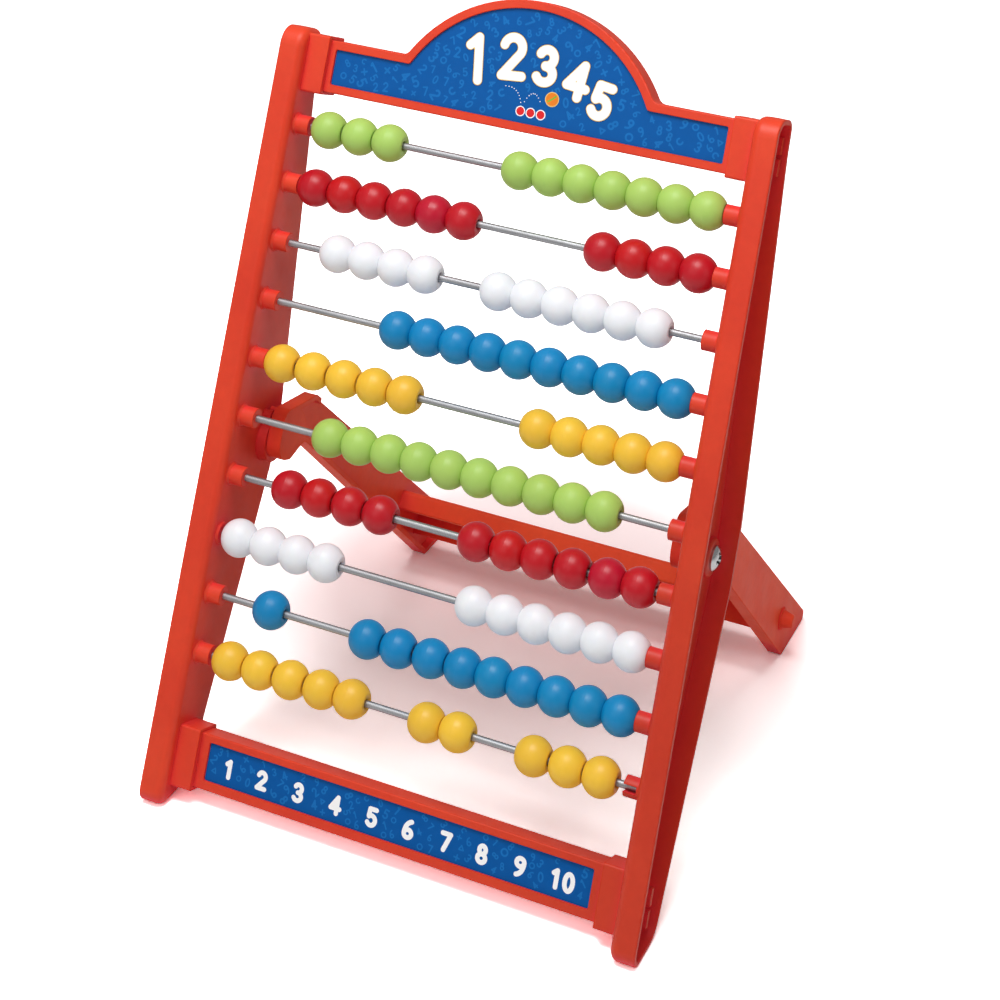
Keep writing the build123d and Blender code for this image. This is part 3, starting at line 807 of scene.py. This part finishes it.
for g in pattern(strip_fits, -N_X, N_X, N_Z0, N_Z1, (3.2 * MM, 4.6 * MM), 3500, 23):
    num_layers.append((g, 1))
for i, cx in enumerate(num_x):
    chars = str(i + 1)
    for k, ch in enumerate(chars):
        off = 0.0 if len(chars) == 1 else (-2.9, 2.5)[k]
        num_layers.append(([moved(l, (cx + off) * MM, NUM_Z * MM, 8.2 * MM, 0) for l in glyph(ch, 0.118, 0.018)], 2))
label = printed_sheet("number_label_print", strip_outline(N_X, N_Z0, N_Z1, 0.8 * MM), num_layers, FACE_Y, SHEET, LABEL_MATS)
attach(label, body_of_node["number_label"])
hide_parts("number_label")

# ---------------------------------------------------------------------------
# carried-over nodes
# ---------------------------------------------------------------------------
for n in ("left_side_rail", "right_side_rail", "header_panel", "number_panel"):
    o = frame["nodes"][n]
    o.data.materials.clear()
    o.data.materials.append(FRAME_MAT)
o = frame["nodes"]["rear_stand"]
o.data.materials.clear()
o.data.materials.append(STAND_MAT)
o = frame["nodes"]["pivot_screws"]
o.data.materials.clear()
o.data.materials.append(SCREW_MAT)

# ---------------------------------------------------------------------------
# stage
# ---------------------------------------------------------------------------
world = bpy.data.worlds.new("studio")
bpy.context.scene.world = world
world.use_nodes = True
# white backdrop for the camera, dimmer grey-white surroundings for the light it sheds
tree = world.node_tree
bg = tree.nodes["Background"]
bg.inputs["Color"].default_value = (1.0, 0.99, 0.985, 1.0)
bg.inputs["Strength"].default_value = 0.27
drop = tree.nodes.new("ShaderNodeBackground")
drop.inputs["Color"].default_value = (1.0, 1.0, 1.0, 1.0)
drop.inputs["Strength"].default_value = 1.0
seen = tree.nodes.new("ShaderNodeLightPath")
pick = tree.nodes.new("ShaderNodeMixShader")
tree.links.new(seen.outputs["Is Camera Ray"], pick.inputs[0])
tree.links.new(bg.outputs[0], pick.inputs[1])
tree.links.new(drop.outputs[0], pick.inputs[2])
tree.links.new(pick.outputs[0], tree.nodes["World Output"].inputs["Surface"])

m = Nodes("pale_floor")
# the bare table is lifted to white for the camera; round the stand a lower, pink gain paints a pink shadow over the
# real one, so only its shaded part shows the warm tint
sweep = m.noise(1.5, 2.0, 0.5)
ray = m.add("ShaderNodeLightPath").outputs["Is Camera Ray"]
paper = m.add("ShaderNodeBsdfDiffuse")
away = m.add("ShaderNodeVectorMath", operation="DISTANCE")
m.put(away.inputs[0], m.coord)
m.put(away.inputs[1], (-0.03, 0.092, 0.0))
far = m.ramp(away.outputs["Value"], 0.092, 0.185)
# painted pink shadow round the stand, fading out to plain white
painted_shadow_gain = m.mix(far, (1.30, 1.12, 1.12, 1.0), (2.6, 2.6, 2.6, 1.0))
m.put(paper.inputs["Color"], m.mix(ray, m.mix(sweep, (0.92, 0.915, 0.91, 1.0), (0.94, 0.937, 0.933, 1.0)), painted_shadow_gain))
paper.inputs["Roughness"].default_value = 0.4
floor_mat = m.finish(paper.outputs[0])
bm = bmesh.new()
bmesh.ops.create_circle(bm, cap_ends=True, segments=96, radius=9.0)
mesh = bpy.data.meshes.new("floor")
bm.to_mesh(mesh)
bm.free()
mesh.materials.append(floor_mat)
floor = bpy.data.objects.new("floor", mesh)
floor.location.z = -0.0002
bpy.context.scene.collection.objects.link(floor)


def softbox(name, place, target, size, power, colour=(1, 1, 1)):
    d = bpy.data.lights.new(name, "AREA")
    d.shape = "RECTANGLE"
    d.size, d.size_y = size
    d.energy = power
    d.color = colour
    o = bpy.data.objects.new(name, d)
    o.location = place
    o.rotation_euler = (Vector(target) - Vector(place)).to_track_quat("-Z", "Y").to_euler()
    bpy.context.scene.collection.objects.link(o)
    return o


softbox("main", (-0.05, -0.32, 1.25), (0, -0.02, 0.15), (0.7, 0.5), 10.3)
softbox("key", (-0.35, -1.0, 0.80), (0, 0, 0.2), (0.9, 0.7), 2.0)
softbox("side", (1.2, -0.5, 0.8), (0, 0, 0.15), (0.7, 0.9), 1.25)

cam_data = bpy.data.cameras.new("camera")
cam = bpy.data.objects.new("camera", cam_data)
bpy.context.scene.collection.objects.link(cam)
bpy.context.scene.camera = cam
CAM_AT = (0.37585134, -0.88696366, 0.67371742)
RIGHT = Vector((0.909203656, 0.415005428, 0.033454555))
DOWN = Vector((0.139350741, -0.227604270, -0.963731118))
AHEAD = Vector((-0.392339246, 0.880889772, -0.264769948))
cam.matrix_world = Matrix((
    (RIGHT.x, -DOWN.x, -AHEAD.x, CAM_AT[0]),
    (RIGHT.y, -DOWN.y, -AHEAD.y, CAM_AT[1]),
    (RIGHT.z, -DOWN.z, -AHEAD.z, CAM_AT[2]),
    (0, 0, 0, 1),
))
cam_data.sensor_width = 36.0
cam_data.lens = 36.0 * 2.4605796
cam_data.clip_start = 0.01
# the picture is the upper-axis crop of a wider one: a lens shift, for this standpoint only
drive = cam_data.driver_add("shift_y").driver
drive.type = "SCRIPTED"
for name, path in (("x", "location[0]"), ("z", "location[2]")):
    v = drive.variables.new()
    v.name = name
    v.type = "SINGLE_PROP"
    v.targets[0].id = cam
    v.targets[0].data_path = path
drive.expression = f"-0.66804 if abs(x - {CAM_AT[0]:.6f}) < 0.0005 and abs(z - {CAM_AT[2]:.6f}) < 0.0005 else 0.0"

sc = bpy.context.scene
sc.view_settings.view_transform = "Standard"
sc.view_settings.look = "None"
